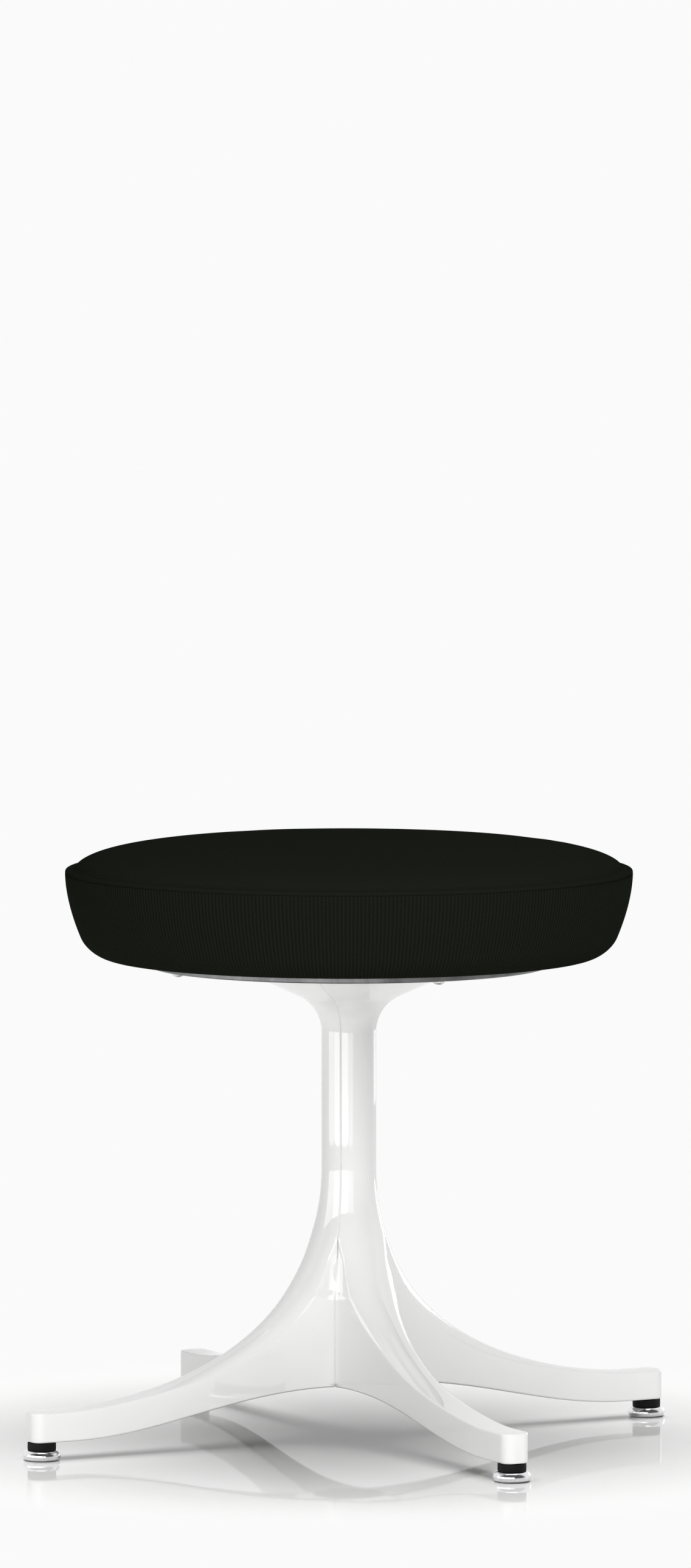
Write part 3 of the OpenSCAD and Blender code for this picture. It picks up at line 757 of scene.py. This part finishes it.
# Cushion: a crowned top panel and a ribbed side band, joined by a rolled seam
cushion = {
    "radius": 197.0, "under": 336.3, "sideHeight": 59.5, "crown": 21.9,
    "crownRadius": 190.5, "crownEdge": 2.4, "crownShare": 0.996, "crownPower": 3.84, "fullness": 0.456,
    "panelRadius": 194.0, "panelEdge": 1.3, "lowerShare": 0.985, "gridSpread": 0.4,
    "drawIn": 17.3, "lean": 1.74, "bellyWide": 13.6, "bellyHigh": 14.5,
    "cloth": 1.2, "lining": 0.6, "turnUnder": 148.1, "seamTuck": 1.0,
    "ribs": 458, "ribDepth": 0.22, "ribFadeLow": 4.0, "ribFadeHigh": 3.0,
    "roll": 1.9, "rollPlay": 0.05, "stitches": 330, "stitchDepth": 0.14, "stitchTurn": 0.5, "fill": 0.9,
}
seamHeight = cushion["under"] + cushion["sideHeight"]
fullTurn = 2.0 * math.pi * cushion["radius"] * mm  # length of the rim in metres, for the maps


# Height of the top at radius r: 1 - u to a power, all to the power of the fullness, from the middle to where
# the foam ends; then a narrow slope, where the cloth lies on its own seam
def crownHeight(r):
    share, power, fullness = cushion["crownShare"], cushion["crownPower"], cushion["fullness"]
    foamEnd, clothEnd, edge = cushion["crownRadius"], cushion["panelRadius"], cushion["crownEdge"]
    u = share * np.clip(r / foamEnd, 0.0, 1.0)
    low = (1.0 - share ** power) ** fullness
    bulge = ((1.0 - u ** power) ** fullness - low) / (1.0 - low)
    slope = (edge - cushion["panelEdge"]) * np.clip((r - foamEnd) / (clothEnd - foamEnd), 0.0, 1.0)
    return seamHeight + edge + (cushion["crown"] - edge) * bulge - slope


# Radius of the side at share h of its height: leaning in, then rounded to the bottom edge
def sideRadius(h, inset=0.0):
    low = np.clip(1.0 - h * cushion["sideHeight"] / cushion["bellyHigh"], 0.0, None)
    belly = cushion["bellyWide"] * (1.0 - np.sqrt(np.clip(1.0 - low * low, 0.0, None)))
    return cushion["radius"] - inset - cushion["drawIn"] * (1.0 - h) ** cushion["lean"] - belly


# The crown over a square grid pressed into a disc, so that its cells stay even: each square ring becomes a
# circle, and the cells get finer towards the edge
def crownGrid(count):
    a = np.linspace(-1.0, 1.0, count)
    x, y = np.meshgrid(a, a, indexing="ij")
    biggest = np.maximum(np.abs(x), np.abs(y))
    blend = biggest ** 2
    stretch = (1.0 - blend) + blend * biggest / np.maximum(np.hypot(x, y), 1e-9)
    x, y = x * stretch, y * stretch
    spread = cushion["gridSpread"]
    wide = cushion["panelRadius"] * (1.0 + spread - spread * np.hypot(x, y))
    x, y = x * wide, y * wide
    return stacked(x, y, crownHeight(np.hypot(x, y))).reshape(-1, 3)


# How the foam fills the top panel: cloth under a light pressure, held at the seam, on a coarse grid
foamPressure = {"count": 72, "pressure": 0.4, "frames": 20, "cap": 1.0, "held": 0.975}


# Each point's move in the simulation, never more than the cap, spread over the fine grid by smooth weights
def swelling(count):
    coarse = foamPressure["count"]
    start = crownGrid(coarse)
    sheet = meshFrom("swellingSheet", start, gridFaces(coarse, coarse)[:, ::-1])
    edge = np.hypot(start[:, 0], start[:, 1]) > foamPressure["held"] * cushion["crownRadius"]
    sheet.vertex_groups.new(name="held").add(np.flatnonzero(edge).tolist(), 1.0, "REPLACE")
    cloth = sheet.modifiers.new("foamPressure", "CLOTH")
    cloth.point_cache.frame_end = foamPressure["frames"]
    settings = cloth.settings
    settings.vertex_group_mass = "held"
    settings.use_pressure, settings.uniform_pressure_force = True, foamPressure["pressure"]
    settings.effector_weights.gravity = 0.0
    for number in range(1, foamPressure["frames"] + 1):
        scene.frame_set(number)
    swollen = sheet.evaluated_get(bpy.context.evaluated_depsgraph_get())
    move = pointsOf(swollen.data) / mm - start
    scene.frame_set(1)
    bpy.data.objects.remove(sheet)
    long = np.linalg.norm(move, axis=1, keepdims=True)
    print("cloth moved by up to", round(float(long.max()), 2), "mm")
    move *= np.minimum(1.0, foamPressure["cap"] / np.maximum(long, 1e-9))
    # a cubic spline's weights, by how many coarse cells a fine line is away
    away = np.abs(np.linspace(0.0, coarse - 1.0, count)[:, None] - np.arange(coarse)[None, :])
    near = 2.0 / 3.0 - away ** 2 + away ** 3 / 2.0
    weight = np.where(away < 1.0, near, np.clip(2.0 - away, 0.0, None) ** 3 / 6.0)
    weight /= weight.sum(axis=1, keepdims=True)
    return np.einsum("ij,jkc,lk->ilc", weight, move.reshape(coarse, coarse, 3), weight).reshape(-1, 3)


# Top panel: the crown, filled out by the foam, closed below by a second, lower sheet
def makeCushionTop():
    count = 180
    upper = crownGrid(count)
    upper += swelling(count)
    share = cushion["lowerShare"]
    lower = upper * [share, share, 1.0] - [0.0, 0.0, cushion["cloth"]]
    cells, below = gridFaces(count, count), count * count
    grid = np.arange(below).reshape(count, count)
    rim = np.concatenate([grid[0], grid[1:, -1], grid[-1, -2::-1], grid[-2:0:-1, 0]])
    ahead = np.roll(rim, -1)
    wall = stacked(rim, ahead, ahead + below, rim + below)
    points, faces = np.vstack([upper, lower]), np.vstack([cells[:, ::-1], cells + below, wall])
    panel = meshFrom("cushionTop", points, faces, uvs=points[:, :2], smoothAngle=60.0)
    settle(panel, "topKnit", "knit_cover", "stool", "cover_top", "seat_foam")


# Side band: profile carried round the seat, with upright ribs as a cosine of the angle
def makeCushionSide():
    ribs, perRib, rows = cushion["ribs"], 4, 40
    angle = turnOf(ribs * perRib)
    h = shares(rows) ** 1.7
    bottom, top = cushion["under"], seamHeight - cushion["seamTuck"]
    height = bottom + h * (cushion["sideHeight"] - cushion["seamTuck"])
    fade = smoothStep((height - bottom) / cushion["ribFadeLow"])
    fade *= smoothStep((top - height) / cushion["ribFadeHigh"])
    back, inside, under = h[::-6], bottom + cushion["cloth"], [cushion["turnUnder"]]
    inner = sideRadius(back, cushion["cloth"] + cushion["lining"])
    radii = np.concatenate([under, sideRadius(h), inner, under])[:, None] + np.zeros(len(angle))
    radii[1:rows + 1] += cushion["ribDepth"] * (np.cos(ribs * angle) - 1.0) * fade[:, None]
    heights = np.concatenate([[bottom], height, inside + back * (top - inside), [inside]])
    along = np.concatenate([[0.0], np.cumsum(np.hypot(np.diff(radii[:, 0]), np.diff(heights)))])
    uvs = stacked(angle * cushion["radius"], along[:, None])
    points = ringPoints(radii, angle, heights[:, None])
    faces = gridFaces(len(heights), len(angle), wrapColumns=True, wrapRows=True)
    side = meshFrom("cushionSide", points, faces, uvs=uvs, smoothAngle=70.0, fullTurn=fullTurn)
    settle(side, "sideKnit", "knit_cover", "stool", "cover_side")


# Rolled seam: a ring of round section, drawn in a little at each stitch below
def makeCushionSeam():
    stitches, perStitch = cushion["stitches"], 4
    angle, turn = turnOf(stitches * perStitch)[:, None], turnOf(20)
    below = np.clip(-np.sin(turn - cushion["stitchTurn"]), 0.0, 1.0) ** 2
    drawn = cushion["stitchDepth"] * (0.5 - 0.5 * np.cos(stitches * angle)) * below
    size = cushion["roll"] - cushion["rollPlay"] - drawn
    radii = cushion["radius"] - cushion["roll"] + size * np.cos(turn)
    height = seamHeight + cushion["rollPlay"] + size * np.sin(turn)
    points = ringPoints(radii, angle, height)
    faces = gridFaces(len(angle), len(turn), wrapColumns=True, wrapRows=True)[:, [0, 3, 2, 1]]
    uvs = stacked(angle * cushion["radius"], turn * cushion["roll"])
    seam = meshFrom("cushionSeam", points, faces, uvs=uvs, smoothAngle=80.0, fullTurn=fullTurn)
    settle(seam, "topKnit", "knit_cover", "stool", "cover_seam")


underPiece = {"radius": 148.0, "pucker": 0.35, "puckers": 24, "clear": 0.02}


# Under-cloth: a thin disc with a faint radial puckering towards its stapled edge
def makeUnderPiece():
    angle = turnOf(240)
    radius = np.linspace(0.0, underPiece["radius"], 30)[:, None]
    wave = 0.5 - 0.5 * np.cos(underPiece["puckers"] * angle)
    rise = underPiece["pucker"] * (radius / underPiece["radius"]) ** 3 * wave
    bottom = cushion["under"] + underPiece["clear"]
    flatTop = [0.0, 0.0, cushion["under"] + cushion["cloth"]]
    lower = ringPoints(radius, angle, bottom + rise)[1:]
    upper = lower[::-1] * [1.0, 1.0, 0.0] + flatTop
    shape = closedByPoles(np.vstack([lower, upper]), [0.0, 0.0, bottom], flatTop)
    cloth = meshFrom("cushionUnder", *shape, smoothAngle=60.0)
    settle(cloth, "underCloth", "under_cloth", "stool", "cover_under")


makeCushionTop()
makeCushionSide()
makeCushionSeam()
makeUnderPiece()
print("cushion built")


# Glide feet: a bulging chromed rim over a flat sole, with a dished shoulder up to the collar
foot = {
    "radius": 13.05, "sole": 10.5, "high": 7.0, "bulgeAt": 0.42, "shoulder": 0.76,
    "stem": 4.0, "head": 6.3, "soleThick": 1.2, "headRoom": 2.6,
}


# Quarter ellipses from the sole out to the bulge and on in to the shoulder, and the room for the stem's head
def footShape(centre):
    bulge = foot["high"] * foot["bulgeAt"]
    a = np.linspace(0.0, np.pi / 2.0, 14)
    lowRadius = foot["sole"] + (foot["radius"] - foot["sole"]) * np.sin(a)
    low = stacked(lowRadius, bulge * (1.0 - np.cos(a)))
    shoulder = foot["radius"] * foot["shoulder"]
    highRadius = shoulder + (foot["radius"] - shoulder) * np.cos(a)
    high = stacked(highRadius, bulge + (foot["high"] - bulge) * np.sin(a))[1:]
    stem, head, sole = foot["stem"], foot["head"], foot["soleThick"]
    room = sole + foot["headRoom"]
    inside = [[stem, foot["high"]], [stem, room], [head, room], [head, sole], [0.0, sole]]
    return turned(np.vstack([[[0.0, 0.0]], low, high, inside]), 96, centre)


# Collars: a turned rubber ring with fine upright flutes and soft edges
collar = {
    "radius": 9.8, "low": 7.0, "high": 12.4, "hole": 4.0, "flutes": 40, "fluteDepth": 0.16, "soft": 0.5,
}


# The profile's radius less a cosine wave round it, which fades over the top and bottom edges
def collarShape(centre):
    radius, low, high, hole, soft = [collar[k] for k in ("radius", "low", "high", "hole", "soft")]
    lower = arcPoints((radius - soft, low + soft), soft, -90.0, 0.0, 5)
    upper = arcPoints((radius - soft, high - soft), soft, 0.0, 90.0, 5)
    profile = np.vstack([[[hole, low]], lower, upper, [[hole, high]]])
    angle = turnOf(collar["flutes"] * 6)
    share = np.array([0.0, 0.4, 0.8] + [1.0] * 6 + [0.8, 0.4, 0.0])[:, None]
    flute = collar["fluteDepth"] * (0.5 - 0.5 * np.cos(collar["flutes"] * angle)) * share
    points = ringPoints(profile[:, 0, None] - flute, angle, profile[:, 1, None], centre)
    return points, gridFaces(len(profile), len(angle), wrapColumns=True, wrapRows=True)


glidePieces = (
    ("glideFoot_", footShape, "chromePlate", "chrome_foot", "foot_"),
    ("glideCollar_", collarShape, "collarRubber", "black_rubber", "collar_"),
)
for side, degrees in sides.items():
    for name, shape, material, slot, solid in glidePieces:
        piece = meshFrom(name + side, *shape(spotOf(degrees, leg["reach"])), smoothAngle=40.0)
        settle(piece, material, slot, "glide_" + side, solid + side)
print("glides built")

# Seat screws: low domed heads with a hexagon socket
seatScrew = {
    "circle": 132.5, "head": 4.25, "high": 2.9, "rim": 1.1, "shank": 2.95, "length": 19.0,
    "socket": 1.5, "socketDeep": 1.5, "socketSoft": 0.12, "socketFoot": 0.06, "domeEdge": 0.3,
}


# Dome: a ball cap under a short upright rim, height by the circle's own formula. Its inner edge is the
# hexagon, whose radius is the half width over the cosine of the angle from the nearest flat
def screwShape(centre):
    angle = turnOf(72)
    head, high, soft = seatScrew["head"], seatScrew["high"], seatScrew["socketSoft"]
    under, cap = leg["plateUnder"], high - seatScrew["rim"]
    ball = (head ** 2 + cap ** 2) / (2.0 * cap)
    hexagon = seatScrew["socket"] / np.cos((angle + np.pi / 6.0) % (np.pi / 3.0) - np.pi / 6.0)
    deep, end = under - high + seatScrew["socketDeep"], under + seatScrew["length"]

    def domeAt(r):
        return under - (high - ball + np.sqrt(np.clip(ball ** 2 - r ** 2, 0.0, None)))

    edge = under - seatScrew["rim"]
    rings = [(hexagon * 0.55, deep), (hexagon * 0.98, deep), (hexagon, deep - seatScrew["socketFoot"])]
    rings.append((hexagon, domeAt(hexagon) + soft))
    for k in shares(14):
        r = (hexagon + soft) * (1.0 - k) + (head - seatScrew["domeEdge"]) * k
        rings.append((r, domeAt(r)))
    rings += [(head - 0.09, edge - 0.06), (head, edge + 0.1), (head, under - 0.08), (head - 0.08, under)]
    rings += [(seatScrew["shank"], under), (seatScrew["shank"], end)]
    points = np.stack([ringPoints(r, angle, z, centre) for r, z in rings])
    return closedByPoles(points, [*centre, deep], [*centre, end])


screwShapes = [screwShape(spotOf(degrees, seatScrew["circle"])) for degrees in sides.values()]
seatScrews = meshFrom("cushionScrews", *joined(screwShapes))
settle(seatScrews, "brightNickel", "bright_screw", "stool", "seat_screws")
print("seat screws built")

# Finishes of the solids that stay as they are
finishOf = {
    "seat_plate": "satinSteel", "hub_plate": "satinSteel", "flange_screws": "darkOxide",
    "hub_screws": "darkOxide", "leg_inserts": "turnedBrass", "seat_board": "birchPlywood",
    "seat_tee_nuts": "zincSteel", **{"stem_" + side: "zincSteel" for side in sides},
}
for name, material in finishOf.items():
    dress(nodes[name], material)
print("solids dressed:", len(finishOf))


# Floor and light
paleTone = 0.956  # of the room and of the floor further out
floorLook = {
    "size": 14000.0, "colour": (0.94, 0.94, 0.935), "roughness": 0.03, "gloss": 0.60,
    "nearRadius": 0.29, "farRadius": 0.43,
}


# Two masks: what the camera sees itself, and what the camera, gloss and glass see
def seenRays(tree):
    path = addNode(tree, "LightPath").outputs
    seen = mathNode(tree, "MAXIMUM", path["Is Camera Ray"], path["Is Glossy Ray"])
    return path["Is Camera Ray"], mathNode(tree, "MAXIMUM", seen, path["Is Transmission Ray"])


# Pale floor: a faintly glossy surface near the stool that passes into the plain backdrop tone further out
def makeFloor(look):
    points = np.array([[-1, -1, 0], [1, -1, 0], [1, 1, 0], [-1, 1, 0]], float) * look["size"]
    floor = meshFrom("paleFloor", points, [[0, 1, 2, 3]])
    tree, shader = newMaterial("paleFloor", look)
    distance = addNode(tree, "VectorMath", {0: placeOf(tree)}, operation="LENGTH").outputs["Value"]
    fade = rampOf(tree, distance, look["nearRadius"], look["farRadius"])
    glow = addNode(tree, "Emission", {"Color": (*[paleTone] * 3, 1.0)})
    # only a part of the floor is glossy, or the sheen at this low angle would wash out the shadows
    matt = addNode(tree, "BsdfDiffuse", {"Color": (*look["colour"], 1.0)})
    surface = mixShaders(tree, look["gloss"], matt.outputs[0], shader.outputs[0])
    far = mathNode(tree, "MULTIPLY", fade, seenRays(tree)[1])
    surface = mixShaders(tree, far, surface, glow.outputs[0])
    # from below the floor is clear, so the stool's underside can be looked at
    clear = addNode(tree, "BsdfTransparent").outputs[0]
    surface = mixShaders(tree, addNode(tree, "NewGeometry").outputs["Backfacing"], surface, clear)
    wire(tree, tree.nodes["Material Output"], {"Surface": surface})
    dress(floor, "paleFloor")
    return floor


# The room: plain white to the camera and behind the stool. Gloss that faces the camera sees the dim half of
# the room, which stays bright only near the floor. The room itself gives no light
roomLook = {"dim": 0.10, "nearFloor": 0.75, "behind": (-0.15, 0.35), "above": (0.05, 0.22)}


def makeWorld(look):
    scene.world = world = bpy.data.worlds.new("paleRoom")
    world.use_nodes = True
    tree = world.node_tree
    way = addNode(tree, "TexCoord").outputs["Generated"]
    behind = rampOf(tree, dotWith(tree, way, tuple(fromCamera((0.0, 1.0, 0.0)))), *look["behind"])
    above = rampOf(tree, dotWith(tree, way, (0.0, 0.0, 1.0)), *look["above"])
    camera, seen = seenRays(tree)
    shade = mathNode(tree, "MULTIPLY", behind, mathNode(tree, "SUBTRACT", 1.0, camera))
    front = mixColours(tree, above, (look["nearFloor"],) * 3, (look["dim"],) * 3)
    colour = mixColours(tree, shade, (paleTone,) * 3, front)
    wire(tree, tree.nodes["Background"], {"Color": colour, "Strength": seen})


# Lamps: each one's place and what it is aimed at, from the stool as (right, towards the camera, up), then its
# size in metres, its power in watts, and whether it shows in gloss. The floor has a lamp of its own, so that
# it can be plain white with deep shadows while the stool keeps its tones
lamps = {
    "windowLeft": ((-1.106, 0.953, 0.303), (0.0, 0.0, 0.303), (0.807, 0.515), 3.7, True),
    "windowRight": ((-0.433, 1.394, 0.303), (0.0, 0.0, 0.303), (0.78, 0.515), 3.6, True),
    "dimLeft": ((-1.434, 0.272, 0.303), (0.0, 0.0, 0.303), (0.671, 0.515), 2.1, True),
    "dimRight": ((0.209, 1.445, 0.303), (0.0, 0.0, 0.303), (0.46, 0.515), 1.0, True),
    "rimWindow": ((1.05, -1.3, 0.33), (0.0, 0.0, 0.3), (0.7, 0.55), 3.7, True),
    "lowRight": ((1.4, 0.85, 0.12), (0.1, 0.0, 0.06), (0.8, 0.2), 3.6, False),
    "overhead": ((0.0, 0.0, 2.0), (0.0, 0.001, 0.1), (1.5, 1.5), 14.0, True),
    "highFront": ((0.75, 1.95, 1.75), (0.0, 0.0, 0.1), (1.5, 1.5), 44.0, False),
    "backFill": ((0.3, -1.8, 1.5), (0.0, 0.0, 0.15), (1.4, 1.4), 12.0, False),
    "floorOnly": ((0.0, 0.0, 2.0), (0.0, 0.001, 0.0), (1.5, 1.5), 56.0, False),
}


def makeLamps(floor):
    lit = {}
    for target, state in (("floor", "INCLUDE"), ("stool", "EXCLUDE")):
        lit[target] = bpy.data.collections.new(target + "Light")
        lit[target].objects.link(floor)
        lit[target].collection_objects[0].light_linking.link_state = state
    for name, (place, target, size, power, inGloss) in lamps.items():
        data = bpy.data.lights.new(name, "AREA")
        data.shape, data.energy = "RECTANGLE", power
        data.size, data.size_y = size
        light = newObject(name, data)
        light.location = start = fromCamera(place)
        aim = fromCamera(target) - start
        tilt = math.atan2(math.hypot(aim[0], aim[1]), -aim[2])
        light.rotation_euler = (tilt, 0.0, math.atan2(aim[1], aim[0]) - math.pi / 2.0)
        light.visible_camera, light.visible_glossy = False, inGloss
        light.light_linking.receiver_collection = lit["floor" if name == "floorOnly" else "stool"]


paleFloor = makeFloor(floorLook)
makeWorld(roomLook)
makeLamps(paleFloor)
scene.view_settings.view_transform = "Standard"
print("floor and light set")
